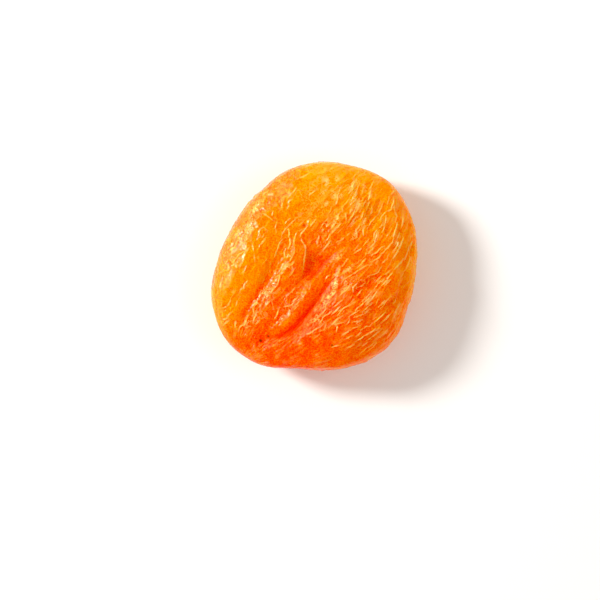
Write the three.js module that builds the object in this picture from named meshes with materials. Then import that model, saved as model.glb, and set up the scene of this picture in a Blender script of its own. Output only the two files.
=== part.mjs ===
// A whole dried apricot with its stone taken out, lying on its flatter side.
// Millimetres, +Z up. +X runs along the crease from the stem end to the tip, +Y across it.
// The origin is on the resting plane, under the middle of the outline.

import * as THREE from 'three';
import { mergeVertices } from 'three/addons/utils/BufferGeometryUtils.js';

// Outline from above: bearing in degrees from +X, and the radius there
const OUTLINE = [
  [0, 19.1], [25, 18.0], [50, 17.4], [75, 15.8], [100, 15.3], [124, 16.2], [148, 18.2],
  [168, 19.4], [188, 18.6], [212, 16.45], [235, 17.05], [262, 17.5], [290, 16.4],
  [312, 16.4], [336, 18.0],
];
const OUTLINE_SOFTNESS = 26;

// Body: the rim's height, what rises over it and hangs under it, and how blunt each side is
const RIM_HEIGHT = 5.8;
const RIM_SWAY = 0.7;
const RIM_CALM = 0.3;
const TOP_RISE = 4.8;
const TOP_BLUNTNESS = 0.62;
const BELLY_DROP = 6.4;
const BELLY_BLUNTNESS = 0.78;

// The flat spot that it rests on: how softly it meets the belly, and how far round it is smooth
const REST_BLEND = 0.45;
const REST_CALM = 6.5;
const REST_ROUGH = 10.5;

// Folds of the upper side. Each line runs from the stem end towards the tip, through points
// [x, y]. Height is above the body, and the two widths are on its +Y and -Y sides.
const FOLDS = {
  farRoll: {
    points: [[-17, 7.2], [-11, 9], [-3, 10.4], [5, 10.9], [12, 8.4], [17, 4]],
    height: 0.95, widths: [6.2, 3.4], taper: 0.25,
  },
  nearCushion: {
    points: [[-14, -5.2], [-7, -6.8], [0, -8.2], [7, -8.4], [13, -5]],
    height: 0.65, widths: [2.6, 6.0], taper: 0.25,
  },
  rollFoot: {
    points: [[-16.6, 4.2], [-13.4, 4.6], [-9.7, 5], [-5.9, 5.3], [-2.9, 6.3], [-0.3, 7.2], [5, 7.7]],
    height: -0.6, widths: [1.2, 1.4], taper: 0.4,
  },
  upperTongue: {
    points: [[-14.5, 2.4], [-10, 2.2], [-6, 2.8], [-2.5, 3.6], [0.6, 5], [3, 6.2]],
    height: 0.45, widths: [1.6, 1.8], taper: 0.35,
  },
  tongueEdge: {
    points: [[-8, 1.9], [-5.9, 1.3], [-4.1, 1.2], [-2.2, 1.4], [-0.8, 2.1], [0.6, 3.2], [3.6, 5.7]],
    height: 0.4, widths: [1.3, 0.65], taper: 0.3,
  },
  shortCrease: {
    points: [[-7, -0.1], [-2.6, -0.35], [-1, -0.15], [0.6, 0.05], [2, -0.3], [4.4, -0.4], [7, 0.1]],
    height: -0.7, widths: [1.6, 0.8], taper: 0.38,
  },
  lip: {
    points: [[-13.6, -0.4], [-12, -1.3], [-10, -1.8], [-7.5, -2], [-4.8, -1.9], [-1, -1.6], [4, -2]],
    height: 0.6, widths: [1.4, 0.9], taper: 0.34,
  },
  mainCrease: {
    points: [[-16, -0.4], [-14.2, -1.4], [-12.6, -2.6], [-10.8, -3.4], [-8.7, -3.8], [-6.4, -3.9],
      [-4, -3.7], [-1.6, -3.4], [1, -3.2], [4, -3.2]],
    height: -1.0, widths: [0.9, 0.85], taper: 0.36,
  },
  tipFurrow: {
    points: [[4, -1.4], [8, -1.4], [11, -1], [14, -0.2], [17, 1.6]],
    height: -0.4, widths: [1.0, 2.0], taper: 0.35,
  },
  nearShoulder: {
    points: [[-3.5, -5.6], [-0.5, -5.2], [3, -5.4], [7, -6.2]],
    height: 0.35, widths: [0.9, 1.1], taper: 0.35,
  },
  nearFurrow: {
    points: [[-6, -6.2], [-3, -7.2], [1, -7.6], [5, -8.4], [9, -9.2]],
    height: -0.45, widths: [0.9, 0.9], taper: 0.3,
  },
};

// Folds of the under side, in the same terms
const UNDER_FOLDS = {
  farCrease: {
    points: [[-16, 2], [-11.5, 5.8], [-6, 8.2], [0, 8.6], [5, 9.6]],
    height: -0.95, widths: [1.5, 1.3], taper: 0.35,
  },
  farPlump: {
    points: [[-8, 11.5], [-2, 12.6], [5, 12.2], [10, 9.5]],
    height: 0.6, widths: [2.4, 2.0], taper: 0.35,
  },
  tipCrease: {
    points: [[6, -9], [10, -6.8], [12.8, -3.4], [15.6, 0.4]],
    height: -0.6, widths: [1.6, 1.8], taper: 0.4,
  },
  nearCrease: {
    points: [[-13, -5.4], [-9.4, -8.4], [-5, -10.4], [0.5, -11.8]],
    height: -0.7, widths: [1.5, 1.9], taper: 0.4,
  },
};

// The long hollow round the creases, and the dimple of the stem scar
const HOLLOW = { x: -5, y: 0.4, length: 9.5, width: 4.6, depth: 0.8 };
const STEM_DIMPLE = { x: -15, y: -0.5, radius: 1.3, depth: 0.8 };

// Wrinkles run along meridians, from a pole beyond the stem end to one beyond the tip.
const POLE_MIDDLE = 1.5;
const POLE_REACH = 24;
const WRINKLE_SPACING = 3.5;
const WRINKLE_LENGTH = 7;
const WRINKLE_HEIGHT = 0.2;
const FAR_WRINKLES = 0.3;
const PUCKER_SIZE = 2.4;
const PUCKER_HEIGHT = 0.22;

// Mesh: the rim has fewer faces than the broad sides, and each fold line is this many steps
const FACE_DETAIL = 22;
const RIM_THINNING = 0.24;
const CURVE_STEPS = 48;
const SEED = 4.7;

const clamp01 = (t) => Math.min(1, Math.max(0, t));
const bell = (t) => Math.exp(-t * t);
const mix = (a, b, t) => a + (b - a) * t;

function smoothStep(low, high, value) {
  const t = clamp01((value - low) / (high - low));
  return t * t * (3 - 2 * t);
}

// A fixed value between -1 and 1 for each corner of a cubic grid
function cornerValue(i, j, k) {
  const wave = Math.sin(i * 127.1 + j * 311.7 + k * 74.7 + SEED) * 43758.5453;
  return 2 * (wave - Math.floor(wave)) - 1;
}

// Smooth noise between -1 and 1
function noise(x, y, z) {
  const [i, j, k] = [Math.floor(x), Math.floor(y), Math.floor(z)];
  const [u, v, w] = [smoothStep(0, 1, x - i), smoothStep(0, 1, y - j), smoothStep(0, 1, z - k)];
  const edge = (j2, k2) => mix(cornerValue(i, j2, k2), cornerValue(i + 1, j2, k2), u);
  const face = (k2) => mix(edge(j, k2), edge(j + 1, k2), v);
  return mix(face(k), face(k + 1), w);
}

function outlineRadius(bearing) {
  let total = 0;
  let weights = 0;
  for (const [degrees, radius] of OUTLINE) {
    const turn = bearing - THREE.MathUtils.degToRad(degrees);
    const weight = Math.exp(OUTLINE_SOFTNESS * (Math.cos(turn) - 1));
    total += weight * radius;
    weights += weight;
  }
  return total / weights;
}

// A smooth line through a fold's points
function trace(fold) {
  const corners = fold.points.map(([x, y]) => new THREE.Vector3(x, y, 0));
  return { ...fold, path: new THREE.CatmullRomCurve3(corners).getPoints(CURVE_STEPS) };
}

// Height that a fold adds at a point: a ridge or a valley across its line, faded at both ends
function foldHeight(fold, x, y) {
  let nearest = Infinity;
  let along = 0;
  let side = 1;
  for (let step = 0; step < CURVE_STEPS; step += 1) {
    const [from, to] = [fold.path[step], fold.path[step + 1]];
    const [dx, dy] = [to.x - from.x, to.y - from.y];
    const t = clamp01(((x - from.x) * dx + (y - from.y) * dy) / (dx * dx + dy * dy));
    const distance = Math.hypot(x - from.x - t * dx, y - from.y - t * dy);
    if (distance < nearest) {
      nearest = distance;
      along = (step + t) / CURVE_STEPS;
      side = dx * (y - from.y) - dy * (x - from.x) < 0 ? 1 : 0;
    }
  }
  const fade = smoothStep(0, fold.taper, along) * smoothStep(0, fold.taper, 1 - along);
  return fold.height * fade * bell(nearest / fold.widths[side]);
}

// Wrinkles that follow the fruit from end to end. They swing aside, and swell and fade, as they go.
function wrinkleHeight(x, y, z) {
  const reach = (x - POLE_MIDDLE) / POLE_REACH;
  const meridian = y / Math.sqrt(Math.max(0.05, 1 - reach * reach));
  const swing = 0.6 * noise(x / 6, y / 6, z / 6);
  const swell = 0.6 + 0.7 * noise(x / WRINKLE_LENGTH, y / WRINKLE_SPACING, z / WRINKLE_LENGTH + 7);
  return WRINKLE_HEIGHT * swell * Math.cos(2 * Math.PI * (meridian / WRINKLE_SPACING + swing));
}

function puckerHeight(x, y, z) {
  return PUCKER_HEIGHT * noise(x / PUCKER_SIZE + 11, y / PUCKER_SIZE, z / PUCKER_SIZE);
}

const upperFolds = Object.values(FOLDS).map(trace);
const underFolds = Object.values(UNDER_FOLDS).map(trace);

function hollowHeight(x, y) {
  return -HOLLOW.depth * bell((x - HOLLOW.x) / HOLLOW.length) * bell((y - HOLLOW.y) / HOLLOW.width);
}

function upperRelief(x, y, z) {
  const folds = upperFolds.reduce((sum, fold) => sum + foldHeight(fold, x, y), 0);
  const fromStem = Math.hypot(x - STEM_DIMPLE.x, y - STEM_DIMPLE.y);
  const dimple = -STEM_DIMPLE.depth * bell(fromStem / STEM_DIMPLE.radius);
  const nearAndTip = smoothStep(-15, -8, x) * smoothStep(8, 3, y);
  const wrinkles = wrinkleHeight(x, y, z) * mix(FAR_WRINKLES, 1, nearAndTip);
  return folds + hollowHeight(x, y) + dimple + wrinkles + puckerHeight(x, y, z);
}

function underRelief(x, y, z) {
  const folds = underFolds.reduce((sum, fold) => sum + foldHeight(fold, x, y), 0);
  const calm = smoothStep(REST_CALM, REST_ROUGH, Math.hypot(x, y));
  return (folds + wrinkleHeight(x, y, z) + puckerHeight(x, y, z)) * calm;
}

// Rounds the lowest part off to a true plane at z = 0
function restOnPlane(z) {
  if (z >= REST_BLEND) return z;
  return z <= -REST_BLEND ? 0 : (z + REST_BLEND) ** 2 / (4 * REST_BLEND);
}

// Moves a point of the unit sphere to its place on the skin
function skinPoint(unit) {
  const bearing = Math.atan2(unit.y, unit.x);
  const polar = Math.acos(THREE.MathUtils.clamp(unit.z, -1, 1));
  const evened = polar - 0.5 * RIM_THINNING * Math.sin(2 * polar);
  const radius = outlineRadius(bearing);
  const [spread, lift] = [Math.sin(evened), Math.cos(evened)];
  const [rise, bluntness] = lift > 0 ? [TOP_RISE, TOP_BLUNTNESS] : [BELLY_DROP, BELLY_BLUNTNESS];
  const rim = RIM_HEIGHT + RIM_SWAY * spread ** 3 * Math.sin(2 * bearing + 0.6);
  const point = new THREE.Vector3(
    radius * spread * Math.cos(bearing),
    radius * spread * Math.sin(bearing),
    rim + rise * Math.sign(lift) * Math.abs(lift) ** bluntness,
  );
  const outward = new THREE.Vector3(unit.x / radius, unit.y / radius, lift / rise).normalize();
  const upper = smoothStep(-0.25, 0.3, lift);
  const place = [point.x, point.y, point.z];
  const relief = mix(underRelief(...place), upperRelief(...place), upper);
  const rimCalm = mix(RIM_CALM, 1, smoothStep(0.05, 0.6, Math.abs(lift)));
  point.addScaledVector(outward, relief * rimCalm);
  point.z = restOnPlane(point.z);
  return point;
}

function skinGeometry() {
  const sphere = new THREE.IcosahedronGeometry(1, FACE_DETAIL);
  sphere.deleteAttribute('normal');
  sphere.deleteAttribute('uv');
  const skin = mergeVertices(sphere, 1e-5);
  const places = skin.getAttribute('position');
  const unit = new THREE.Vector3();
  for (let index = 0; index < places.count; index += 1) {
    unit.fromBufferAttribute(places, index).normalize();
    const point = skinPoint(unit);
    places.setXYZ(index, point.x, point.y, point.z);
  }
  skin.computeVertexNormals();
  return skin;
}

const flesh = new THREE.MeshStandardMaterial({ color: 0xff7a05, roughness: 0.42, metalness: 0 });

const apricot = new THREE.Mesh(skinGeometry(), flesh);
apricot.name = 'apricot';

const model = new THREE.Group();
model.add(apricot);

export default model;
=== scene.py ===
"""A whole pitted dried apricot: its wrinkled skin, its finish, the floor, the light and the camera."""
import math
import random

import bpy
import numpy as np
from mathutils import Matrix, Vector, noise


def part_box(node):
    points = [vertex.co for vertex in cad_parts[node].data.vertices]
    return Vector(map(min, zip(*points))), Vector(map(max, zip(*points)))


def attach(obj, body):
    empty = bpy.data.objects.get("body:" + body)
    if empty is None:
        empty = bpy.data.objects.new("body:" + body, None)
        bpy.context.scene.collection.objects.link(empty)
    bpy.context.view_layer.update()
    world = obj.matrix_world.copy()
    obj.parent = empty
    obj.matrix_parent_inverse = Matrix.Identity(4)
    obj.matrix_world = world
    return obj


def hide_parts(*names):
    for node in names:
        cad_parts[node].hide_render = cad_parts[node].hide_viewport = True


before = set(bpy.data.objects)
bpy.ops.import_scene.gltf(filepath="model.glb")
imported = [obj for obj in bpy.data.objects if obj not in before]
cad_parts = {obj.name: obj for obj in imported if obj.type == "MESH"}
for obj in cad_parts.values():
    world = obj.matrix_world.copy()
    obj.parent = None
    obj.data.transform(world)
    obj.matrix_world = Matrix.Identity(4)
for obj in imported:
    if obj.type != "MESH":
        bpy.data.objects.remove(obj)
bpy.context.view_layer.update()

# Lengths and places on the fruit are in millimetres, in the part's own frame
MM = 0.001

# The cells of the skin's mesh before and after its folds are sharpened, and how fine it may end
FORM_CELL = 0.22
SKIN_CELL = 0.145
MOST_TRIANGLES = 196000

# How high the rim lies, where the fruit is widest
RIM_HEIGHT = 5.8

# Wrinkles run like meridians between two poles on the long axis, and draw together towards them
# until they lie this share as far apart as in the middle
POLE_MIDDLE = 1.3
POLE_REACH = 20.8
LEAST_SPREAD = 0.3

# The straight steps between two points of a curved line
CURVE_STEPS = 8

# A spot that a line doesn't reach counts as this far away from it
OUT_OF_REACH = 9.0

# A wrinkle line of this height or more is fully plain to see
PLAIN_HEIGHT = 0.13

# Each fold line lies on the upper side and runs from the stem end towards the tip. It gives the
# height it adds, how far it reaches to its left and to its right, and the share of its length
# over which it fades in and out
FOLD_LINES = {
    "lip_groove": dict(
        points=[(-15.2, -0.7), (-14.2, -1.45), (-13.1, -2.15), (-12.0, -2.95), (-10.6, -3.45),
                (-9.0, -3.7), (-7.4, -3.75), (-5.6, -3.6), (-3.8, -3.4), (-2.0, -3.3), (0.2, -3.3)],
        height=-0.24, left=0.3, right=0.45, fade=(0.12, 0.4),
    ),
    "groove_bank": dict(
        points=[(-13.4, -4.0), (-11.5, -4.7), (-9.5, -5.0), (-7.0, -5.1), (-4.5, -4.9), (-2.0, -4.8)],
        height=0.07, left=0.6, right=1.5, fade=(0.7, 0.3),
    ),
    "lip_edge": dict(
        points=[(-14.4, -0.5), (-13.3, -1.1), (-12.2, -2.0), (-11.2, -2.5), (-10.0, -2.75),
                (-8.6, -2.9), (-7.0, -2.95), (-5.4, -2.9), (-3.8, -2.8), (-2.0, -2.7)],
        height=0.12, left=0.7, right=0.3, fade=(0.2, 0.4),
    ),
    "lip_fold": dict(
        points=[(-9.6, -1.2), (-8.4, -1.55), (-6.8, -1.7), (-5.2, -1.6), (-4.0, -1.3), (-2.6, -0.95)],
        height=0.1, left=0.45, right=0.22, fade=(0.4, 0.4),
    ),
    "lip_line": dict(
        points=[(-8.4, -0.75), (-7.0, -0.8), (-5.4, -0.7), (-4.0, -0.6), (-2.8, -0.4)],
        height=-0.08, left=0.35, right=0.25, fade=(0.4, 0.3),
    ),
    "short_crease": dict(
        points=[(-3.8, -0.5), (-2.4, -0.35), (-0.8, -0.4), (0.4, -0.5), (1.5, -0.3), (2.6, -0.45),
                (3.8, -0.6), (5.4, -0.55)],
        height=-0.14, left=0.5, right=0.3, fade=(0.4, 0.3),
    ),
    "flap_edge": dict(
        points=[(-7.4, 1.55), (-5.4, 1.35), (-3.6, 1.4), (-2.2, 1.65), (-1.2, 2.15), (-0.1, 2.8),
                (0.9, 3.55), (1.7, 4.35), (2.2, 5.1), (2.9, 5.65), (4.0, 6.0)],
        height=0.09, left=0.6, right=0.22, fade=(0.35, 0.4),
    ),
    "flap_shade": dict(
        points=[(-5.4, 0.75), (-3.6, 0.75), (-2.0, 1.0), (-0.9, 1.45), (0.2, 2.05), (1.3, 2.9),
                (2.2, 3.9), (2.8, 4.9)],
        height=-0.05, left=0.22, right=0.6, fade=(0.35, 0.6),
    ),
    "roll_foot": dict(
        points=[(-15.8, 3.9), (-14.2, 4.3), (-12.5, 4.6), (-11.0, 4.7), (-9.5, 4.9), (-8.2, 5.1),
                (-6.8, 5.2), (-5.6, 5.5), (-4.4, 6.1)],
        height=-0.14, left=0.35, right=0.45, fade=(0.25, 0.4),
    ),
    "roll_edge": dict(
        points=[(-14.5, 7.6), (-13.0, 8.6), (-11.0, 9.7), (-8.8, 10.8), (-6.6, 11.7), (-4.4, 12.4),
                (-2.0, 13.0), (0.5, 13.3)],
        height=0.15, left=0.8, right=2.0, fade=(0.45, 0.35),
    ),
    "foot_lift": dict(
        points=[(-14.2, 4.3), (-12.5, 4.6), (-11.0, 4.7), (-9.5, 4.9), (-8.2, 5.1), (-6.8, 5.2)],
        height=0.16, left=0.9, right=1.4, fade=(0.3, 0.3),
    ),
}

# How many lines grow over each zone of the upper side, between which corners, and how long
GROWN_LINES = {
    "near_flank": dict(count=95, low=(-8.0, -15.0), high=(10.0, -4.2), length=(2.0, 6.0)),
    "tip_side": dict(count=60, low=(5.0, -10.0), high=(17.0, 5.0), length=(2.0, 5.5)),
    "middle": dict(count=20, low=(-9.0, -2.0), high=(5.0, 8.0), length=(1.5, 3.5)),
    "groove_side": dict(count=40, low=(-10.0, -7.0), high=(2.0, -4.6), length=(0.8, 2.6)),
    "far_side": dict(count=12, low=(-10.0, 8.0), high=(9.0, 15.0), length=(1.5, 4.0)),
    "stem_end": dict(count=12, low=(-17.0, -4.0), high=(-9.0, 3.0), length=(1.0, 2.5)),
    "roll_end": dict(count=16, low=(-17.5, 2.5), high=(-8.0, 8.0), length=(0.8, 2.4)),
}

# The wrinkle lines that are drawn one by one, zone by zone: their height, how far they reach to the
# left and right, and the points of each
CRESTS = {
    "near_flank": dict(height=0.15, left=0.26, right=0.3, lines=[
        [(0.5, -3.0), (1.5, -3.2), (2.3, -3.0), (3.5, -2.95), (5.2, -2.9)],
        [(6.0, -3.15), (6.8, -3.35), (7.4, -3.5), (8.4, -3.65)],
        [(0.1, -3.4), (0.6, -3.85), (1.5, -4.55), (3.2, -5.15), (5.0, -5.7), (6.2, -6.2), (6.9, -6.8)],
        [(-1.0, -4.3), (0.4, -4.5)],
        [(1.0, -5.1), (1.7, -4.95)],
        [(-1.0, -5.75), (-0.1, -5.75), (0.4, -6.0), (1.0, -5.9)],
        [(0.1, -7.3), (0.8, -7.15), (1.3, -6.7), (1.8, -6.5)],
        [(1.8, -7.0), (2.6, -7.5), (3.4, -7.65)],
        [(3.4, -8.0), (4.2, -7.9), (4.7, -8.15)],
        [(4.2, -7.2), (5.0, -7.5), (5.5, -7.9), (6.1, -8.1), (6.9, -8.0)],
        [(-3.2, -8.8), (-1.9, -9.2), (-0.6, -9.35), (1.2, -9.65), (2.4, -9.75), (3.7, -9.8)],
        [(4.8, -8.85), (6.3, -9.0)],
        [(4.0, -9.3), (5.6, -9.5)],
        [(6.8, -5.65), (7.7, -5.5), (8.5, -5.85), (9.5, -5.9), (10.1, -6.15)],
        [(5.7, -5.05), (6.8, -5.25)],
        [(-5.7, -5.7), (-5.0, -6.0), (-4.3, -6.3), (-3.5, -6.5)],
        [(-6.3, -5.3), (-6.0, -5.85)],
        [(-3.8, -5.75), (-3.2, -5.65)],
        [(-4.3, -4.25), (-3.4, -4.0), (-2.9, -3.85), (-2.1, -3.75)],
        [(-3.2, -5.05), (-2.2, -4.75), (-1.5, -4.8), (-0.9, -4.8)],
        [(-3.9, -7.65), (-3.2, -7.5), (-2.6, -7.4), (-1.2, -7.9), (-0.1, -8.4)],
        [(-6.8, -7.5), (-6.0, -7.0)],
        [(-3.6, -9.7), (-2.9, -9.6)],
        [(-5.2, -8.0), (-4.5, -8.5), (-3.9, -9.0)],
        [(-5.7, -9.05), (-5.0, -8.6)],
        [(-2.1, -9.85), (-1.5, -10.3), (-0.8, -10.6)],
        [(-3.8, -10.7), (-3.1, -11.25)],
        [(-2.9, -10.25), (-2.2, -10.7), (-1.7, -11.05)],
        [(-4.1, -12.1), (-3.2, -12.3)],
        [(-3.1, -12.0), (-2.3, -12.35)],
        [(-8.4, -6.1), (-7.2, -6.45)],
        [(-8.0, -10.35), (-7.3, -10.9)],
    ]),
    "tip": dict(height=0.14, left=0.26, right=0.3, lines=[
        [(8.2, -8.75), (9.2, -8.55), (10.2, -8.5), (11.3, -8.25), (12.4, -7.9), (13.5, -7.5)],
        [(11.2, -7.4), (12.2, -7.1), (12.8, -6.85), (13.5, -6.65)],
        [(14.1, -6.35), (15.1, -5.9), (15.9, -5.4)],
        [(8.1, -4.4), (8.9, -4.6), (9.4, -4.6), (9.9, -4.3), (10.5, -4.1)],
        [(10.1, -3.85), (10.8, -3.5), (11.7, -3.6)],
        [(11.8, -4.3), (12.6, -4.1), (13.4, -3.8), (14.1, -3.1)],
        [(12.2, -1.1), (12.9, -0.95), (13.5, -0.6)],
        [(7.3, -1.35), (8.0, -1.7), (8.7, -1.5), (9.0, -1.0), (9.8, -0.9)],
        [(9.2, -2.4), (9.8, -1.8), (10.4, -1.6), (11.3, -1.9)],
        [(12.9, -9.45), (13.8, -9.15)],
        [(15.1, -4.7), (15.8, -3.8), (16.3, -3.1)],
        [(13.1, -2.9), (13.6, -2.6), (14.6, -2.8), (15.4, -3.1)],
        [(4.9, 1.75), (5.8, 1.9), (7.1, 1.8)],
        [(7.4, 1.75), (8.3, 1.8)],
        [(5.3, 3.2), (6.1, 3.15), (7.1, 3.1)],
        [(5.7, 3.7), (6.4, 3.8), (7.4, 3.9)],
        [(9.8, 1.0), (10.8, 1.2), (11.7, 1.35), (12.5, 1.65)],
        [(9.3, 1.45), (10.0, 2.05)],
        [(8.5, 2.4), (8.9, 2.6), (8.8, 3.1)],
        [(5.2, 0.35), (6.2, -0.05), (6.6, -0.2), (7.7, -0.35)],
        [(8.8, 0.45), (9.8, 0.4), (10.9, 0.3)],
        [(10.3, -0.9), (11.6, -0.5), (12.6, -0.2), (13.4, 0.1), (14.0, 0.3), (14.6, 0.9), (16.9, 2.0)],
        [(12.3, 2.9), (13.2, 2.8), (14.3, 3.1)],
        [(11.9, 2.5), (13.1, 2.4)],
        [(11.1, 3.15), (12.3, 3.35)],
        [(13.1, 3.95), (14.0, 3.9), (14.5, 4.3), (15.4, 4.5)],
        [(10.5, 4.4), (11.2, 4.85), (11.4, 5.4)],
        [(3.9, 1.1), (4.9, 1.1)],
    ]),
    "tongue": dict(height=0.13, left=0.22, right=0.26, lines=[
        [(0.1, 7.7), (0.8, 7.95), (1.5, 8.05), (2.7, 8.05), (4.1, 7.9)],
        [(1.0, 6.85), (1.5, 7.1), (2.0, 7.6), (2.15, 8.0)],
        [(-3.3, 6.4), (-2.5, 6.7), (-1.3, 7.1), (-0.8, 7.3), (0.0, 7.3), (0.7, 7.15)],
        [(-1.8, 5.4), (-1.4, 5.75), (-0.8, 5.95)],
        [(-0.6, 5.75), (0.1, 5.85), (0.6, 6.1), (1.0, 6.5)],
        [(0.8, 5.55), (1.6, 6.0), (2.5, 6.2)],
        [(-3.7, 4.15), (-2.8, 4.35), (-2.0, 4.15), (-1.2, 4.3), (-0.5, 4.5), (0.6, 5.05)],
        [(-1.35, 4.35), (-1.2, 5.1)],
        [(2.3, 5.35), (3.0, 5.65), (4.2, 5.6)],
        [(-4.1, 0.7), (-2.8, 1.0), (-1.45, 1.6), (-0.65, 2.2), (0.25, 2.7), (1.1, 3.25), (1.7, 3.85),
         (1.9, 4.55), (2.4, 5.2), (3.9, 5.55)],
        [(-6.9, 3.2), (-6.0, 3.2), (-5.6, 3.4), (-4.9, 3.85)],
        [(-7.0, 0.8), (-6.3, 0.85), (-5.4, 0.65), (-4.6, 0.7)],
        [(-5.2, 5.5), (-4.75, 6.0), (-4.3, 6.25)],
        [(-15.9, 3.4), (-15.3, 3.5), (-14.7, 3.2), (-14.2, 3.25), (-13.7, 3.45)],
        [(-14.9, 2.6), (-14.3, 2.25)],
        [(-13.3, 2.35), (-12.8, 2.6), (-12.2, 2.8)],
        [(-12.1, 3.5), (-11.4, 3.85), (-10.8, 3.85), (-10.4, 3.5)],
        [(-9.9, 2.5), (-9.0, 2.5)],
        [(-8.9, 4.3), (-8.3, 4.1), (-8.0, 3.6)],
        [(-10.2, 0.05), (-9.6, 0.3), (-8.8, 0.6)],
        [(-8.7, 0.45), (-8.3, 0.15), (-7.8, -0.2), (-7.3, -0.6), (-6.5, -0.7)],
        [(-7.4, 0.05), (-6.9, 0.4), (-6.5, 0.8)],
        [(-9.0, -1.5), (-8.3, -1.4)],
        [(-7.4, -1.6), (-6.6, -1.6)],
        [(3.4, 2.6), (4.3, 3.05)],
        [(2.9, 1.15), (3.6, 1.15), (4.7, 1.05)],
    ]),
    "far_roll": dict(height=0.08, left=0.25, right=0.3, lines=[
        [(-5.9, 12.65), (-5.0, 12.9), (-4.4, 13.2), (-3.8, 13.8)],
        [(-6.9, 12.95), (-5.9, 12.6)],
        [(-2.3, 13.05), (-1.6, 13.4), (-0.8, 13.7), (0.2, 13.95)],
        [(-3.5, 11.85), (-2.6, 12.0), (-1.9, 12.1), (-1.55, 12.5), (-1.9, 13.1)],
        [(-8.0, 12.7), (-8.0, 12.0), (-8.1, 11.4), (-7.4, 11.2), (-6.4, 11.3), (-5.1, 10.9)],
        [(-9.0, 12.1), (-8.9, 11.5), (-9.4, 11.1)],
        [(0.7, 14.35), (1.6, 14.4), (2.4, 14.65)],
        [(3.8, 14.65), (4.6, 14.5)],
        [(-2.4, 10.6), (-1.8, 10.5), (-1.4, 10.9), (-0.9, 11.15), (-0.4, 11.0), (-0.35, 10.5)],
        [(1.5, 12.1), (1.5, 11.5), (1.5, 10.7)],
        [(2.1, 11.2), (2.6, 11.5)],
        [(-4.3, 9.95), (-3.8, 10.45)],
        [(0.4, 9.0), (1.0, 9.5), (1.5, 9.8)],
        [(-5.7, 8.4), (-5.2, 8.9), (-4.8, 9.3)],
        [(-11.0, 7.2), (-9.5, 7.3), (-8.7, 7.4), (-8.55, 8.3)],
        [(4.3, 11.0), (5.1, 11.7)],
        [(-7.7, 9.85), (-6.7, 10.15)],
        [(-17.0, 5.75), (-16.4, 5.7), (-15.8, 5.55)],
        [(-15.0, 7.8), (-14.3, 7.35), (-13.3, 7.45), (-12.3, 7.75), (-11.6, 7.8)],
        [(-16.4, 6.6), (-16.0, 6.1), (-15.3, 6.2), (-14.6, 6.2)],
    ]),
}

# How high each kind of soft wrinkle is
WRINKLE_HEIGHTS = {
    "long": 0.2, "fine": 0.13, "side": 0.5, "puckered": 0.09, "facets": 0.07, "crumpled": 0.065,
}

# The folds whose hollows are painted deeper, as painted shade, and those whose lit edges are painted
# paler, as painted light: how deep, and how far to the left and right
SHADED_FOLDS = [
    ("lip_edge", 0.85, 0.1, 1.2), ("short_crease", 0.5, 0.7, 0.3), ("roll_foot", 0.5, 0.3, 0.9),
    ("flap_shade", 0.45, 0.3, 0.9),
]
LIT_FOLDS = [("lip_edge", 0.5, 1.3, 0.15), ("flap_edge", 0.4, 0.35, 0.2)]

# The folds beside which the skin is taut: how smooth, and how far to the left and right
SMOOTH_FOLDS = [
    ("lip_edge", 1.0, 1.0, 0.6), ("short_crease", 1.0, 0.7, 0.3), ("flap_shade", 1.0, 0.3, 0.7),
    ("roll_foot", 0.8, 0.6, 0.6),
]

# The folds where the skin is dull: how dull, and how far to the left and right
DULL_FOLDS = [("lip_groove", 1.2, 0.6, 1.6), ("short_crease", 0.5, 0.6, 0.5)]

# Soft-edged patches, as seen from above, where the skin differs from what surrounds it. Each row
# gives a place, a half length, a half width and a strength
PATCHES = {
    "tongue": [(-9.5, 3.3, 5.5, 1.5, 1.0), (-2.5, 4.3, 3.5, 2.0, 1.0)],
    "slope": [(0.8, 1.2, 2.6, 1.1, 1.0)],
    "middle": [(3.0, 7.0, 5.0, 2.5, 1.0)],
    "stem": [(-15.0, -0.5, 2.6, 3.2, 1.0)],
    "calm_flank": [(-10.5, -9.0, 5.0, 4.5, 1.0)],
    "lip": [(-8.5, -1.6, 4.5, 1.6, 1.0)],
    "bank": [(-6.0, -4.5, 6.5, 1.1, 1.0)],
    "wavy": [(11.5, 0.5, 4.5, 4.5, 0.9), (1.5, -6.8, 7.0, 2.6, 0.6)],
    "curly": [
        (-8.5, 2.6, 5.5, 1.8, 1.0), (-6.5, -1.2, 4.5, 1.4, 1.0), (3.0, 1.5, 3.0, 2.0, 1.0),
        (-6.0, -4.7, 6.0, 1.3, 0.8),
    ],
    # These patches deepen the tone, or lighten it where the strength is below nothing: partly painted
    # shade in the middle hollow, partly painted tone that offsets how brightly the lamps light each spot
    "red": [
        (-6.0, -5.2, 5.5, 1.6, 0.65), (-8.4, 3.3, 2.4, 1.2, 0.9), (-7.5, 6.6, 2.6, 1.2, -0.3),
        (6.5, 8.5, 4.0, 3.5, 0.25), (2.6, 3.6, 3.4, 1.9, 0.7), (-1.5, 0.3, 2.6, 0.9, -0.2),
    ],
    "dull": [(-5.0, 12.4, 3.2, 1.6, 0.25), (5.8, 12.2, 2.4, 1.2, 0.7), (-10.5, 9.3, 2.6, 1.3, 0.5)],
    # A faint pale patch, partly dried skin and partly painted sheen
    "dry": [(9.5, 7.0, 6.0, 3.0, 0.25)],
}
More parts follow.
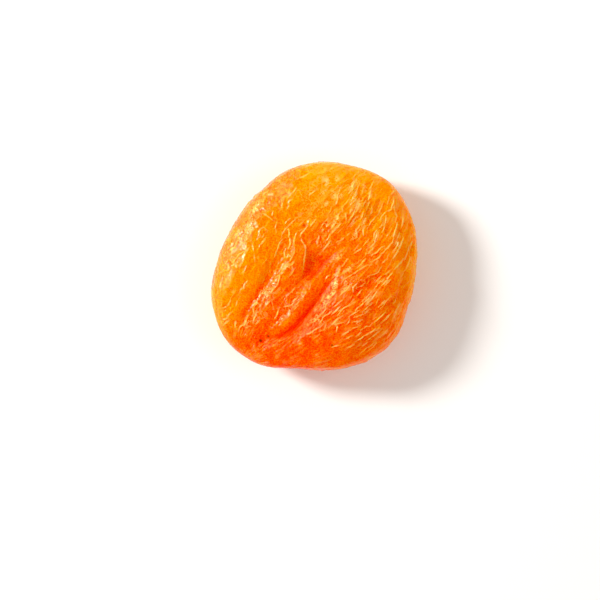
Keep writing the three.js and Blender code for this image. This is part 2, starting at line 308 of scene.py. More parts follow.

# Pale strips, partly dried skin and partly painted sheen: place, turn from the long axis in degrees, half
# length and half width
DRY_AND_SHEEN_STRIPS = [
    (3.3, -4.0, -12, 1.1, 0.25), (3.8, -1.5, -10, 0.7, 0.45), (0.2, -3.9, -5, 1.0, 0.5),
    (-1.7, -4.5, 10, 1.3, 0.4), (0.4, -5.7, -5, 0.8, 0.28), (10.3, -4.2, 20, 1.0, 0.3),
    (8.8, -1.2, 5, 1.1, 0.35), (11.0, -1.0, 20, 1.3, 0.28), (-2.9, 4.1, -5, 0.8, 0.45),
    (-8.7, 4.1, 10, 0.9, 0.55), (-14.2, 3.1, -5, 0.8, 0.4), (-10.7, 4.0, 10, 0.7, 0.35),
    (-12.4, 2.8, 15, 0.8, 0.28), (-4.1, 13.2, 50, 1.0, 0.28), (-2.0, 12.9, 20, 0.9, 0.45),
    (1.2, 14.2, 5, 1.2, 0.35), (-6.4, 12.8, 0, 0.7, 0.3), (12.0, 8.0, 70, 1.0, 0.6),
    (11.2, 5.7, 60, 0.9, 0.55), (11.6, 4.8, 0, 0.9, 0.45), (12.6, 5.5, 70, 0.8, 0.5),
    (14.2, 4.4, 10, 1.1, 0.5), (12.4, 1.5, 15, 1.3, 0.45), (8.2, 2.6, 20, 1.0, 0.4),
    (14.5, 0.8, 30, 1.5, 0.3), (6.4, 3.6, 5, 0.9, 0.35), (9.6, 0.4, 0, 1.2, 0.3),
    (13.4, 6.8, 40, 0.8, 0.35), (10.4, 7.2, -20, 0.7, 0.3), (15.6, 2.8, 60, 0.9, 0.3),
    (9.2, 5.6, 20, 0.6, 0.3), (-3.6, -4.6, 15, 0.9, 0.3), (-6.2, -5.2, 10, 0.8, 0.25),
]

# Specks of the skin: place, radius, how dark and how red each one is
SPECKS = [
    (-15.0, -0.55, 0.24, 1.0, 0.0), (-13.6, -1.05, 0.18, 0.9, 0.3), (-8.0, -10.05, 0.16, 0.8, 0.0),
    (4.15, 6.15, 0.28, 0.35, 2.6), (4.45, 5.8, 0.2, 0.25, 2.2), (-10.7, 3.5, 0.3, 0.25, 0.8),
]

# The tone of the flesh runs from 0, which is deep red, to 1, which is yellow. Each row gives what it
# adds, times the ramps that rise between two places along the fruit or across it
TONES = [
    (0.36, [("across", 0.0, 7.0)]),
    (0.5, [("along", -4.0, 17.0)]),
    (0.05, [("along", 7.0, 12.0), ("across", 9.0, 5.0)]),
    (0.09, [("across", -6.0, -10.0)]),
    (0.1, [("across", 4.0, 7.0), ("along", 2.0, -4.0)]),
    (-0.1, [("along", -7.0, -17.0)]),
    (-0.16, [("across", 9.0, 14.0)]),
    (-0.08, [("along", 1.0, 6.0), ("across", 9.5, 13.0)]),
    (-0.08, [("across", -2.5, -5.0), ("across", -14.0, -10.0)]),
    (-0.14, [("along", 4.0, 8.0), ("across", 10.5, 13.0)]),
]
MIDDLE_TONE = 0.165

# What the qualities that are kept for each vertex add to the tone. Rise and crest paint raised places
# paler and hollows deeper, as painted light and shade; red carries the painted shade of the fold hollows;
# rim paints the near rim paler and the far rim deeper, as painted light and shade
TONE_SHARES = {"rise": 0.19, "red": -0.3, "crest": 0.1, "rim": 0.11}

# The soft noises that break up the finish, with their scale in cells to the metre
CLOUDS = {
    "mottle": {"Scale": 900.0, "Detail": 3.0},
    "pores": {"Scale": 4200.0, "Detail": 1.0, "Roughness": 0.6},
    "cloud": {"Scale": 420.0, "Detail": 1.0},
    "squiggle": {"Scale": 1000.0, "Detail": 1.0, "Distortion": 0.8},
}

# The colours of the flesh by its tone, of pale dried skin and painted sheen, and of the specks
FLESH_COLOURS = [
    (0.0, (0.97, 0.035, 0.001, 1)), (0.2, (0.99, 0.1, 0.002, 1)), (0.45, (1.0, 0.17, 0.003, 1)),
    (0.7, (1.0, 0.25, 0.005, 1)), (1.0, (1.0, 0.36, 0.008, 1)),
]
DRIED_AND_SHEEN_COLOUR = (1.0, 0.68, 0.2, 1)
SPECK_COLOUR = (0.08, 0.005, 0.003, 1)


def pick(piece):
    """Makes one object the only selected and active one."""
    bpy.ops.object.select_all(action="DESELECT")
    piece.select_set(True)
    bpy.context.view_layer.objects.active = piece


def apply_modifier(piece, kind, **settings):
    pick(piece)
    modifier = piece.modifiers.new(kind.lower(), kind)
    for name, value in settings.items():
        setattr(modifier, name, value)
    bpy.ops.object.modifier_apply(modifier=modifier.name)


def smooth_step(low, high, value):
    t = np.clip((value - low) / (high - low), 0, 1)
    return t * t * (3 - 2 * t)


def bell(t):
    return np.exp(-t * t)


def column(piece, name, width=3):
    """One value of every vertex of a piece, such as its place or its normal, as rows."""
    flat = np.empty(len(piece.data.vertices) * width)
    piece.data.vertices.foreach_get(name, flat)
    return flat.reshape(-1, width)


def places_of(piece):
    return column(piece, "co") / MM


def move_to(piece, places):
    piece.data.vertices.foreach_set("co", (places * MM).ravel())
    piece.data.update()


def noise_at(places, scale=1.0, seed=0.0):
    """Soft noise between about -1 and 1 at each place."""
    return np.array([noise.noise(place) for place in (places * scale + seed).tolist()])


def neighbour_mean(piece, values, rounds):
    """Values spread over the mesh: each vertex takes the mean of its neighbours, round by round."""
    edges = np.empty(len(piece.data.edges) * 2, int)
    piece.data.edges.foreach_get("vertices", edges)
    first, second = edges.reshape(-1, 2).T
    count = np.bincount(first, minlength=len(values)) + np.bincount(second, minlength=len(values))
    for _ in range(rounds):
        total = np.bincount(first, values[second], len(values))
        total += np.bincount(second, values[first], len(values))
        values = total / count
    return values


def level_of(piece, rounds):
    """How far each vertex stands above the mean of what surrounds it."""
    places = places_of(piece)
    mean = np.stack([neighbour_mean(piece, places[:, axis], rounds) for axis in range(3)], 1)
    return ((places - mean) * column(piece, "normal")).sum(1)


def write_attribute(piece, name, values):
    attribute = piece.data.attributes.new(name, "FLOAT", "POINT")
    attribute.data.foreach_set("value", values.astype(np.float32))


# The body


def smooth_form():
    """A smooth copy of the solid, which the skin is wrapped on."""
    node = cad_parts["apricot"]
    form = node.copy()
    form.data = node.data.copy()
    form.parent = None
    bpy.context.scene.collection.objects.link(form)
    form.name = "form"
    pick(form)
    bpy.ops.object.mode_set(mode="EDIT")
    bpy.ops.mesh.select_all(action="SELECT")
    bpy.ops.mesh.remove_doubles(threshold=0.002 * MM)
    bpy.ops.object.mode_set(mode="OBJECT")
    apply_modifier(form, "SMOOTH", factor=0.5, iterations=3)
    apply_modifier(form, "SUBSURF", levels=2, render_levels=2)
    return form


def wrapped_skin(form):
    """A ball, squashed to the fruit's size, wrapped on the form and given an even fine mesh."""
    low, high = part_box("apricot")
    bpy.ops.mesh.primitive_ico_sphere_add(subdivisions=6, radius=1, location=(low + high) / 2)
    skin = bpy.context.active_object
    skin.name = "apricot_skin"
    skin.scale = (high - low) / 2
    bpy.ops.object.transform_apply(location=True, rotation=True, scale=True)
    apply_modifier(
        skin, "SHRINKWRAP", target=form, wrap_method="PROJECT",
        use_negative_direction=True, use_positive_direction=True,
    )
    apply_modifier(skin, "SMOOTH", factor=0.5, iterations=2)
    apply_modifier(skin, "REMESH", mode="VOXEL", voxel_size=FORM_CELL * MM)
    apply_modifier(skin, "SHRINKWRAP", target=form, wrap_method="NEAREST_SURFACEPOINT")
    apply_modifier(skin, "SMOOTH", factor=0.5, iterations=3)
    return skin


def curve_through(points):
    """A smooth line through the points, as short straight steps."""
    ends = np.array([points[0], *points, points[-1]], float)
    line = []
    for a, b, c, d in zip(ends, ends[1:], ends[2:], ends[3:]):
        for t in np.linspace(0, 1, CURVE_STEPS, endpoint=False):
            line.append(
                0.5 * (2 * b + (c - a) * t + (2 * a - 5 * b + 4 * c - d) * t**2
                       + (3 * b - a - 3 * c + d) * t**3)
            )
    return np.array(line + [ends[-1]])


def along_and_across(line, spots):
    """How far along a line each spot lies, from 0 to 1, and how far to its left."""
    start, step = line[:-1], np.diff(line, axis=0)
    length = np.linalg.norm(step, axis=1)
    offset = spots[:, None, :] - start
    t = np.clip((offset * step).sum(2) / length**2, 0, 1)
    miss = offset - t[..., None] * step
    far = np.linalg.norm(miss, axis=2)
    nearest = far.argmin(1)
    row = np.arange(len(spots))
    side = np.sign(step[nearest, 0] * miss[row, nearest, 1] - step[nearest, 1] * miss[row, nearest, 0])
    done = np.concatenate([[0], np.cumsum(length)])
    along = (done[nearest] + t[row, nearest] * length[nearest]) / done[-1]
    return along, far[row, nearest] * side


def lengthened(points):
    """A line with a point added beyond each end, so that it can fade away along its own course."""
    ends = np.array(points, float)
    reach = min(0.35 * np.linalg.norm(np.diff(ends, axis=0), axis=1).sum() + 0.3, 1.3)
    first = ends[0] - ends[1]
    last = ends[-1] - ends[-2]
    return np.vstack([
        ends[0] + first / np.linalg.norm(first) * reach, ends,
        ends[-1] + last / np.linalg.norm(last) * reach,
    ])


def stroke(spots, upward, line, height, left, right, fade=(0.45, 0.45)):
    """What one line adds at each spot of the upper side, and how the spot lies to the line.

    The second value is 1 where the line is at full strength and 0 where it has faded away. The
    third is how far to the line's left the spot is.
    """
    added = np.zeros(len(spots))
    fading = np.zeros(len(spots))
    across = np.full(len(spots), OUT_OF_REACH)
    reach = 2.5 * max(left, right)
    low, high = line.min(0) - reach, line.max(0) + reach
    near = (upward > 0) & (spots > low).all(1) & (spots < high).all(1)
    if near.any():
        along, across[near] = along_and_across(line, spots[near])
        width = np.where(across[near] > 0, left, right)
        fading[near] = smooth_step(0, fade[0], along) * smooth_step(0, fade[1], 1 - along)
        added[near] = height * bell(across[near] / width) * fading[near]
    return added, fading, across


def fold_skin(skin):
    """Sharpens the folds that the form holds softly, and evens the mesh out again."""
    places = places_of(skin)
    normals = column(skin, "normal")
    upward = normals[:, 2]
    height = np.zeros(len(places))
    for fold in FOLD_LINES.values():
        settings = {name: value for name, value in fold.items() if name != "points"}
        height += stroke(places[:, :2], upward, curve_through(fold["points"]), **settings)[0]
    move_to(skin, places + normals * height[:, None])
    apply_modifier(skin, "REMESH", mode="VOXEL", voxel_size=SKIN_CELL * MM)
    apply_modifier(skin, "SMOOTH", factor=0.5, iterations=4)


def drawn_steps():
    """The middle and the direction of every step of the long drawn lines."""
    middles, directions = [], []
    for name in ("near_flank", "tip"):
        for points in CRESTS[name]["lines"]:
            ends = np.array(points)
            middles.append((ends[1:] + ends[:-1]) / 2)
            directions.append(np.diff(ends, axis=0))
    return np.vstack(middles), np.vstack(directions)


def course(x, y, middles, directions):
    """The angle of the wrinkles at a place: along the meridians, and along the drawn lines near it."""
    along = (x - POLE_MIDDLE) / POLE_REACH
    meridian = np.array([POLE_REACH * max(1 - along * along, LEAST_SPREAD**2), -y * along])
    near = bell(np.hypot(middles[:, 0] - x, middles[:, 1] - y) / 1.8)
    total = (directions * near[:, None]).sum(0) + 0.6 * meridian / np.linalg.norm(meridian)
    return math.atan2(total[1], total[0])


def grown_line(draw, steps, low, high, length):
    """A line from a random start, which follows the course of the wrinkles with a slow sway."""
    x, y = draw.uniform(low[0], high[0]), draw.uniform(low[1], high[1])
    step = 0.35
    line = [(x, y)]
    for _ in range(int(draw.uniform(*length) / step)):
        sway = 0.2 * noise.noise((x * 0.3, y * 0.3, 4.7)) + 0.25 * noise.noise((x * 0.9, y * 0.9, 9.1))
        angle = course(x, y, *steps) + sway
        x += step * math.cos(angle)
        y += step * math.sin(angle)
        line.append((x, y))
    return np.array(line)


def meridian_spread(x):
    """How far apart the meridians lie: 1 in the middle and less towards the poles."""
    return np.sqrt(np.clip(1 - ((x - POLE_MIDDLE) / POLE_REACH) ** 2, LEAST_SPREAD**2, 1))


def flow_places(places, spacing, length):
    """Places stretched along the meridians, so that noise on them makes long wrinkles."""
    x, y, z = places.T
    spread = meridian_spread(x)
    sway = 0.55 * noise_at(places, 0.21, 3.1) + 0.22 * noise_at(places, 0.75, 8.2)
    lift = 0.55 * noise_at(places, 0.21, 15.7)
    return np.stack(
        [x / length, y / (spread * spacing) + sway, (z - RIM_HEIGHT) / (spread * spacing) + lift], 1
    )


def crest_lines(values, sharpness):
    """Crests, 1 where soft noise passes through nothing and 0 between."""
    return np.clip(1 - 2.6 * np.abs(values), 0, 1) ** sharpness


def patch(places, x, y, reach_x, reach_y):
    """A soft-edged patch, as seen from above, 1 in its middle."""
    return bell((places[:, 0] - x) / reach_x) * bell((places[:, 1] - y) / reach_y)


def patches(places, name):
    """The sum of all the patches of one name."""
    return sum(strength * patch(places, *spot) for *spot, strength in PATCHES[name])


def wrinkle_lines():
    """Every line on the upper side with its height and its reach to the left and right."""
    lines = []
    for zone in CRESTS.values():
        for points in zone["lines"]:
            lines.append((curve_through(lengthened(points)), zone["height"], zone["left"], zone["right"]))
    draw = random.Random(7)
    steps = drawn_steps()
    for zone in GROWN_LINES.values():
        for _ in range(zone["count"]):
            line = grown_line(draw, steps, zone["low"], zone["high"], zone["length"])
            lines.append((line, 0.04 + 0.12 * draw.random() ** 1.5, 0.24, 0.26))
    return lines


def raised_lines(places, upward):
    """The height of the wrinkle lines at each place of the upper side, and how plain the nearest is.

    The third value is how far to that line's left the place is.
    """
    wiggle = np.stack([noise_at(places, 0.85, 71.3), noise_at(places, 0.85, 93.8)], 1)
    spots = places[:, :2] + 0.1 * wiggle
    raised = np.zeros(len(places))
    plainness = np.zeros(len(places))
    offset = np.full(len(places), 0.5)
    for line, height, left, right in wrinkle_lines():
        added, fading, across = stroke(spots, upward, line, height, left, right)
        raised = np.maximum(raised, added)
        plain = fading * smooth_step(0.5, 0.2, np.abs(across)) * min(height / PLAIN_HEIGHT, 1)
        offset = np.where(plain > plainness, across, offset)
        plainness = np.maximum(plainness, plain)
    return raised * (0.85 + 0.5 * noise_at(places, 1.1, 17.9)), plainness, offset


def along_folds(places, upward, folds):
    """Soft bands along some of the fold lines, as strong as each one's depth."""
    band = np.zeros(len(places))
    for name, depth, left, right in folds:
        fold = FOLD_LINES[name]
        line = curve_through(fold["points"])
        band = np.maximum(band, stroke(places[:, :2], upward, line, depth, left, right, fold["fade"])[0])
    return band


def skin_zones(places, upward):
    """How much of each kind of wrinkling every place has, where 1 is the usual full strength."""
    flat = smooth_step(0.1, 0.75, np.abs(upward))
    ends = smooth_step(0.45, 0.9, meridian_spread(places[:, 0]))
    side = smooth_step(0.25, -0.15, upward)
    rest = smooth_step(0.1, 1.3, places[:, 2])
    top = smooth_step(-0.1, 0.3, upward)
    far_roll = top * smooth_step(4.5, 8.0, places[:, 1] - 0.12 * places[:, 0])

    def on_top(name):
        return top * patches(places, name)

    long = 1 - 0.85 * far_roll - 0.7 * on_top("stem") - 0.45 * on_top("calm_flank")
    long -= 0.75 * on_top("slope") + 0.5 * on_top("lip")
    long = (np.clip(long, 0, 1) + on_top("wavy")) * (0.55 + 0.45 * flat) * (0.25 + 0.75 * ends)
    puckered = far_roll * (0.35 + 0.65 * flat) + 0.8 * on_top("tongue") + 0.5 * on_top("middle")
    crumpled = 0.6 + 0.4 * flat - 0.5 * on_top("stem") - 0.3 * on_top("calm_flank")
    return {
        "long": long * (0.8 + side * (ends - 0.4)) * rest,
        "puckered": (puckered + 0.7 * on_top("bank")) * rest,
        "crumpled": (crumpled + 1.1 * on_top("bank")) * (1 - 0.7 * far_roll) * rest,
        "facets": far_roll * rest,
        "side": smooth_step(0.1, -0.4, upward) * ends * rest,
    }


def wrinkle_skin(skin):
    """Raises the lines that are drawn and grown, and soft wrinkles between and below them."""
    places = places_of(skin)
    normals = column(skin, "normal")
    upward = normals[:, 2]
    drawn = raised_lines(places, upward)[0] * smooth_step(0.1, 0.4, upward)
    zones = skin_zones(places, upward)
    gate = smooth_step(-0.25, 0.25, noise_at(flow_places(places, 3.6, 9.0), 1.0, 40.5))
    broad = noise_at(flow_places(places, 1.9, 8.5), 1.0, 1.7)
    fine = noise_at(flow_places(places, 0.95, 4.2), 1.0, 23.9)
    curly = noise_at(places * 0.6 + 0.4 * noise_at(places, 0.9, 31.0)[:, None], 1.0, 51.3)
    folds = noise_at(flow_places(places, 3.4, 14.0), 1.0, 86.1)
    facets = noise_at(flow_places(places, 1.5, 3.0), 1.0, 77.7)
    wrinkles = {
        "long": zones["long"] * crest_lines(broad, 2.0) * (0.35 + 0.65 * gate),
        "fine": zones["long"] * crest_lines(fine, 1.5),
        "side": zones["side"] * crest_lines(folds, 1.3),
        "puckered": zones["puckered"] * crest_lines(curly, 1.2),
        "facets": zones["facets"] * crest_lines(facets, 1.0),
        "crumpled": zones["crumpled"] * crest_lines(noise_at(places, 1.7, 63.1), 1.0),
    }
    height = sum(WRINKLE_HEIGHTS[name] * wrinkle for name, wrinkle in wrinkles.items())
    height = np.maximum(height, drawn) + 0.4 * np.minimum(height, drawn)
    height *= 1 - 0.85 * along_folds(places, upward, SMOOTH_FOLDS)
    moved = places + normals * height[:, None]
    moved[:, 2] = np.where(places[:, 2] < 0.02, 0, np.maximum(moved[:, 2], 0))
    move_to(skin, moved)


def thin_underside(skin):
    """Takes triangles away where the fruit faces down, and leaves the upper side as fine as it is."""
    upward = column(skin, "normal")[:, 2]
    group = skin.vertex_groups.new(name="underside")
    steps = 10
    for step in range(1, steps + 1):
        chosen = np.flatnonzero(np.ceil(steps * smooth_step(0.1, -0.5, upward)) == step)
        group.add(chosen.tolist(), step / steps, "REPLACE")
    triangles = sum(len(polygon.vertices) - 2 for polygon in skin.data.polygons)
    apply_modifier(
        skin, "DECIMATE", ratio=MOST_TRIANGLES / triangles, vertex_group=group.name,
        vertex_group_factor=1000,
    )
    skin.vertex_groups.clear()


def redness_and_shade(places, upward):
    """How deep in colour each place is: painted shade in the hollows of the folds, less where their edges
    are painted light, the dark specks, and some patches that deepen or lighten the tone.
    """
    red = along_folds(places, upward, SHADED_FOLDS) - along_folds(places, upward, LIT_FOLDS)
    for x, y, radius, _, depth in SPECKS:
        red = np.maximum(red, depth * (upward > 0) * patch(places, x, y, radius, radius))
    return red + (upward > 0) * patches(places, "red")


def dryness_and_sheen(places, upward):
    """Where the skin is painted pale, partly as dried skin and partly as painted sheen, in short soft
    strips and faintly in a patch.
    """
    dry = patches(places, "dry")
    for x, y, turn, reach, width in DRY_AND_SHEEN_STRIPS:
        c, s = math.cos(math.radians(turn)), math.sin(math.radians(turn))
        along = (places[:, 0] - x) * c + (places[:, 1] - y) * s
        across = (places[:, 1] - y) * c - (places[:, 0] - x) * s
        dry = np.maximum(dry, bell(along / reach) * bell(across / width))
    return dry * (upward > 0)


def speck_darkness(places, upward):
    dark = np.zeros(len(places))
    for x, y, radius, darkness, _ in SPECKS:
        dark = np.maximum(dark, darkness * (upward > 0) * patch(places, x, y, radius, radius))
    return dark


def rim_light_and_shade_tone(places, upward):
    """How much paler the steep rim is painted: 1 on the near side, painted light where the lamps leave it
    dim, and -1 on the far side, painted deeper against the lamp that lights it.
    """
    steep = smooth_step(0.75, 0.25, upward) * smooth_step(-0.5, 0, upward)
    near = smooth_step(-3.0, -9.0, places[:, 1] - 0.35 * places[:, 0])
    far = smooth_step(6.0, 11.0, places[:, 1] - 0.45 * places[:, 0])
    return steep * (near - far)


def mark_skin(skin):
    """Keeps for each vertex what the finish needs to know about its place on the fruit."""
    places = places_of(skin)
    upward = column(skin, "normal")[:, 2]
    zones = skin_zones(places, upward)
    write_attribute(skin, "puckered", np.clip(zones["puckered"], 0, 1))
    curly = patches(places, "curly") + 0.4 * zones["puckered"]
    write_attribute(skin, "curly", np.clip(curly, 0, 1) * (upward > 0))
    _, plainness, offset = raised_lines(places, upward)
    smooth = along_folds(places, upward, SMOOTH_FOLDS)
    write_attribute(skin, "smooth", smooth)
    dull = along_folds(places, upward, DULL_FOLDS) + patches(places, "dull")
    write_attribute(skin, "dull", np.clip(dull, 0, 1))
    write_attribute(skin, "plainness", plainness * (1 - smooth) * smooth_step(0.3, 0.8, upward))
    write_attribute(skin, "offset", np.clip(offset, -0.5, 0.5))
    # Crest and rise paint raised places paler and hollows deeper, as painted light and shade; red holds
    # painted fold shade, dry holds pale dried skin and painted sheen, and rim holds painted light and
    # shade on the rim
    write_attribute(skin, "crest", np.clip(level_of(skin, 8) / 0.08, -1, 1))
    write_attribute(skin, "rise", np.clip(level_of(skin, 120) / 0.5, -1, 1))
    write_attribute(skin, "red", np.clip(redness_and_shade(places, upward), -1, 3))
    write_attribute(skin, "speck", speck_darkness(places, upward))
    write_attribute(skin, "dry", dryness_and_sheen(places, upward))
    write_attribute(skin, "grain", 0.4 + 0.6 * smooth_step(0.2, 0.7, upward))
    write_attribute(skin, "rim", rim_light_and_shade_tone(places, upward))


form = smooth_form()
skin = wrapped_skin(form)
bpy.data.objects.remove(form)
fold_skin(skin)
wrinkle_skin(skin)
thin_underside(skin)
mark_skin(skin)

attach(skin, "root")
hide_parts("apricot")
pick(skin)
bpy.ops.object.shade_smooth()


# The finish


class Wire:
    """An output of a shader node. Sums and products of wires add the Math nodes for them."""

    def __init__(self, tree, socket=None):
        self.tree = tree
        self.socket = socket

    def make(self, kind, settings=None, inputs=None, output=0):
        """Adds a node, sets its settings and then its sockets, and gives one of its outputs."""
        node = self.tree.nodes.new(kind)
        for name, value in (settings or {}).items():
            if name == "stops":
                first, *rest = value
                node.color_ramp.elements.remove(node.color_ramp.elements[1])
                node.color_ramp.elements[0].position, node.color_ramp.elements[0].color = first
                for position, colour in rest:
                    node.color_ramp.elements.new(position).color = colour
            else:
                setattr(node, name, value)
        for name, value in (inputs or {}).items():
            if isinstance(value, Wire):
                self.tree.links.new(value.socket, node.inputs[name])
            else:
                node.inputs[name].default_value = value
        return Wire(self.tree, node.outputs[output] if len(node.outputs) else None)

    def attribute(self, name):
        return self.make("ShaderNodeAttribute", {"attribute_name": name}, output="Fac")

    def math(self, operation, *values):
        return self.make("ShaderNodeMath", {"operation": operation}, dict(enumerate(values)))

    def ramp(self, value, low, high):
        """Rises smoothly from 0 at the low value to 1 at the high one, which may be the smaller."""
        settings = {"interpolation_type": "SMOOTHSTEP"}
        return self.make("ShaderNodeMapRange", settings, {0: value, 1: low, 2: high, 3: 0.0, 4: 1.0})

    def crest(self, value, steepness):
        """1 where a value passes through nothing, falling to 0 on both sides."""
        return self.math("MAXIMUM", 1 - self.math("ABSOLUTE", value) * steepness, 0.0)

    def mixed(self, colour, share):
        """This colour with a share of another one."""
        inputs = {0: share, 6: self, 7: colour}
        return self.make("ShaderNodeMix", {"data_type": "RGBA"}, inputs, output=2)

    def __add__(self, other):
        return self.math("ADD", self, other)

    def __sub__(self, other):
        return self.math("SUBTRACT", self, other)

    def __mul__(self, other):
        return self.math("MULTIPLY", self, other)

    def __rsub__(self, other):
        return self.math("SUBTRACT", other, self)

    __radd__ = __add__
    __rmul__ = __mul__


def new_material(name):
    material = bpy.data.materials.new(name)
    material.use_nodes = True
    tree = material.node_tree
    return material, tree, tree.nodes["Principled BSDF"]


def meridian_noise(along, across, height, spacing, length):
    """Noise between about -0.5 and 0.5, stretched along the meridians of the fruit."""
    share = (along - POLE_MIDDLE * MM) * (1 / (POLE_REACH * MM))
    spread = along.math("SQRT", along.math("MAXIMUM", 1 - share * share, LEAST_SPREAD**2))
    place = along.make("ShaderNodeCombineXYZ", inputs={
        0: along * (1 / (length * MM)),
        1: along.math("DIVIDE", across, spread * (spacing * MM)),
        2: along.math("DIVIDE", height - RIM_HEIGHT * MM, spread * (spacing * MM)),
    })
    noise_inputs = {"Vector": place, "Scale": 0.5, "Detail": 1.0, "Distortion": 0.4}
    return along.make("ShaderNodeTexNoise", {}, noise_inputs) - 0.5


def line_marks(start, mottle, pores):
    """A pale thread along the crest of each plain wrinkle line, partly dried skin and partly a painted
    highlight, and painted shade at its foot.
    """
    ragged = start.attribute("offset") + (mottle - 0.5) * 0.3 + (pores - 0.5) * 0.2
    offset = start.math("ABSOLUTE", ragged)
    plainness = start.attribute("plainness")
    return start.crest(offset, 5.6) * plainness, start.crest(offset - 0.3, 7.0) * plainness


def faint_marks(start, streak_noise, cloud, squiggle):
    """Faint streaks along the fruit and fine crinkles between them, where the skin isn't taut."""
    rough = 1 - start.attribute("smooth")
    streaks = start.crest(streak_noise, 8.0) * rough * start.ramp(cloud, 0.42, 0.58)
    streaks = streaks * (1 - start.attribute("puckered") * 0.7)
    crinkle = start.crest(squiggle - 0.5, 11.0) * rough * start.ramp(cloud, 0.56, 0.4)
    return streaks, crinkle


def tone_of_place(start, along, across):
    """The tone over each part of the fruit, as TONES and TONE_SHARES have it."""
    axes = {"along": along, "across": across}
    total = MIDDLE_TONE
    for weight, ramps in TONES:
        tone = weight
        for axis, low, high in ramps:
            tone = start.ramp(axes[axis], low * MM, high * MM) * tone
        total = tone + total
    for name, share in TONE_SHARES.items():
        total = start.attribute(name) * share + total
    return total


def flesh_finish():
    material, tree, skin_shader = new_material("dried_flesh")
    start = Wire(tree)
    place = start.make("ShaderNodeTexCoord", output="Object")
    axes = start.make("ShaderNodeSeparateXYZ", inputs={0: place}).socket.node.outputs
    along, across, height = (Wire(tree, axes[name]) for name in "XYZ")
    mottle, pores, cloud, squiggle = (
        start.make("ShaderNodeTexNoise", {}, {"Vector": place, **noise_inputs})
        for noise_inputs in CLOUDS.values()
    )
    thread, foot = line_marks(start, mottle, pores)
    streak_noise = meridian_noise(along, across, height, 0.5, 2.4)
    streaks, crinkle = faint_marks(start, streak_noise, cloud, squiggle)
    curly = start.attribute("curly")
    patchy = start.attribute("dry")
    relief = thread * 1.2 + streaks * 0.6 + crinkle * (curly * 0.3 + patchy * 0.35 + 0.15)
    bump = start.make(
        "ShaderNodeBump", {}, {"Strength": 1.0, "Distance": 0.1 * MM, "Height": relief + pores * 0.2}
    )
    tree.links.new(bump.socket, skin_shader.inputs["Normal"])

    grain = ((mottle - 0.5) * 0.45 + (pores - 0.5) * 1.8) * start.attribute("grain")
    # Raised marks are painted paler and the foot of each thread deeper, as painted light and shade; grain
    # and cloud vary the tone at random
    tone = tone_of_place(start, along, across) + relief * 0.16 + grain + cloud * 0.12 - foot * 0.22
    flesh = start.make("ShaderNodeValToRGB", {"stops": FLESH_COLOURS}, {"Fac": tone}, output="Color")
    # The pale threads, streaks, crinkles and dry patches take the dried colour: partly dried skin, partly
    # painted sheen and highlights
    dry = start.math("MAXIMUM", thread * start.ramp(mottle, 0.3, 0.55) * 0.9, streaks * 0.18)
    dry = start.math("MAXIMUM", dry, crinkle * (curly * 0.35 + patchy * 0.9))
    dry = start.math("MAXIMUM", dry, patchy * start.ramp(mottle + pores, 0.94, 1.06) * 0.8)
    colour = flesh.mixed(DRIED_AND_SHEEN_COLOUR, dry).mixed(SPECK_COLOUR, start.attribute("speck"))
    tree.links.new(colour.socket, skin_shader.inputs["Base Color"])

    roughness = start.attribute("dull") * 0.55 + 0.2 - start.attribute("crest") * 0.04
    tree.links.new(roughness.socket, skin_shader.inputs["Roughness"])
    skin_shader.inputs["Subsurface Weight"].default_value = 1.0
    skin_shader.inputs["Subsurface Radius"].default_value = (3.5, 0.25, 0.08)
    skin_shader.inputs["Subsurface Scale"].default_value = MM
    skin_shader.inputs["Specular IOR Level"].default_value = 0.31
    skin_shader.inputs["Specular Tint"].default_value = (1.0, 0.85, 0.7, 1)
    return material


skin.data.materials.clear()
skin.data.materials.append(flesh_finish())


# The floor, the light and the camera


def pale_floor():
    bpy.ops.object.select_all(action="DESELECT")
    bpy.ops.mesh.primitive_plane_add(size=3)
    floor = bpy.context.active_object
    floor.name = "floor"
    material, _, shader = new_material("pale_floor")
    shader.inputs["Base Color"].default_value = (0.92, 0.93, 0.94, 1)
    shader.inputs["Roughness"].default_value = 0.8
    floor.data.materials.append(material)


# The lights' sizes and distance are in metres and their power is in watts
LIGHT_DISTANCE = 0.6
LIGHT_COLOUR = (1.0, 0.97, 0.92)


def area_light(name, size, power, azimuth, elevation, glints=True):
    """A round soft light, aimed at the fruit from an azimuth that is counted from +X towards +Y."""
    light = bpy.data.lights.new(name, "AREA")
    light.shape = "DISK"
    light.size = size
    light.energy = power
    light.color = LIGHT_COLOUR
    holder = bpy.data.objects.new(name, light)
    bpy.context.scene.collection.objects.link(holder)
    turn, lift = math.radians(azimuth), math.radians(elevation)
    away = Vector((math.cos(turn) * math.cos(lift), math.sin(turn) * math.cos(lift), math.sin(lift)))
    holder.location = away * LIGHT_DISTANCE
    holder.visible_glossy = glints
    holder.rotation_euler = away.to_track_quat("Z", "Y").to_euler()


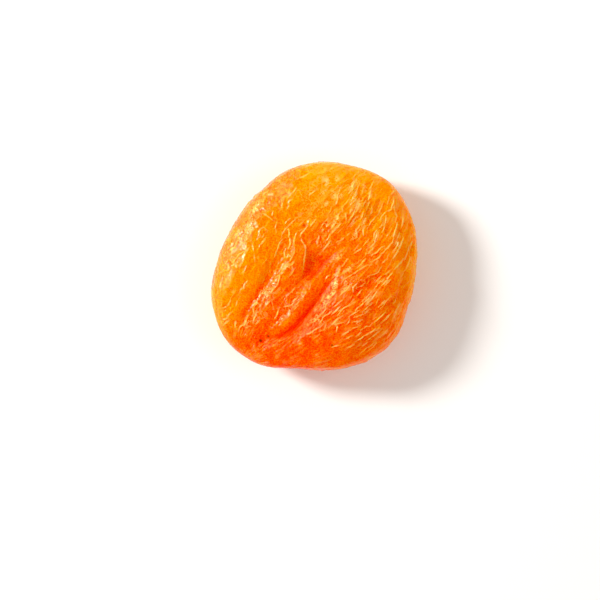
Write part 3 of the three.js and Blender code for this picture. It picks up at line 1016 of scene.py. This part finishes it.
def dome_light(zenith, horizon, colour):
    """A dome that is dim overhead and bright low down, so that level skin stays deep in colour."""
    world = bpy.data.worlds.new("dome")
    bpy.context.scene.world = world
    world.use_nodes = True
    tree = world.node_tree
    start = Wire(tree)
    place = start.make("ShaderNodeTexCoord", output="Generated")
    height = start.make("ShaderNodeSeparateXYZ", inputs={0: place}, output=2)
    ramp = start.make(
        "ShaderNodeMapRange", {"interpolation_type": "SMOOTHSTEP"},
        {0: height, 1: 0.1, 2: 0.7, 3: horizon, 4: zenith},
    )
    tree.links.new(ramp.socket, tree.nodes["Background"].inputs["Strength"])
    tree.nodes["Background"].inputs["Color"].default_value = colour


# The picture's width at the height of the rim, and how far right of the fruit's middle and below it
# the middle of the picture lies. The picture's right side is turned this far from +X towards -Y
PICTURE_WIDTH = 100.0
PICTURE_MIDDLE = (-2.72, 5.12)
PICTURE_TURN = math.radians(50)
LENS = 120

# The picture's darkest green and blue are taken down to nothing, which deepens the orange
BLACK_LEVEL = (0.0, 0.01, 0.023)


def overhead_camera():
    camera = bpy.data.objects.new("camera", bpy.data.cameras.new("camera"))
    bpy.context.scene.collection.objects.link(camera)
    bpy.context.scene.camera = camera
    camera.data.lens = LENS
    camera.data.clip_end = 10
    across, up = PICTURE_MIDDLE[0], -PICTURE_MIDDLE[1]
    x = across * math.cos(PICTURE_TURN) + up * math.sin(PICTURE_TURN)
    y = -across * math.sin(PICTURE_TURN) + up * math.cos(PICTURE_TURN)
    z = PICTURE_WIDTH * LENS / camera.data.sensor_width + RIM_HEIGHT
    camera.location = (x * MM, y * MM, z * MM)
    camera.rotation_euler = (0, 0, -PICTURE_TURN)


pale_floor()
area_light("key", size=0.14, power=4.3, azimuth=109, elevation=31)
area_light("fill", size=0.5, power=0.85, azimuth=-55, elevation=40, glints=False)
dome_light(zenith=0.42, horizon=1.25, colour=(1.0, 0.9, 0.84, 1))
overhead_camera()
view = bpy.context.scene.view_settings
view.view_transform = "Standard"
view.use_curve_mapping = True
view.curve_mapping.black_level = BLACK_LEVEL
view.curve_mapping.update()
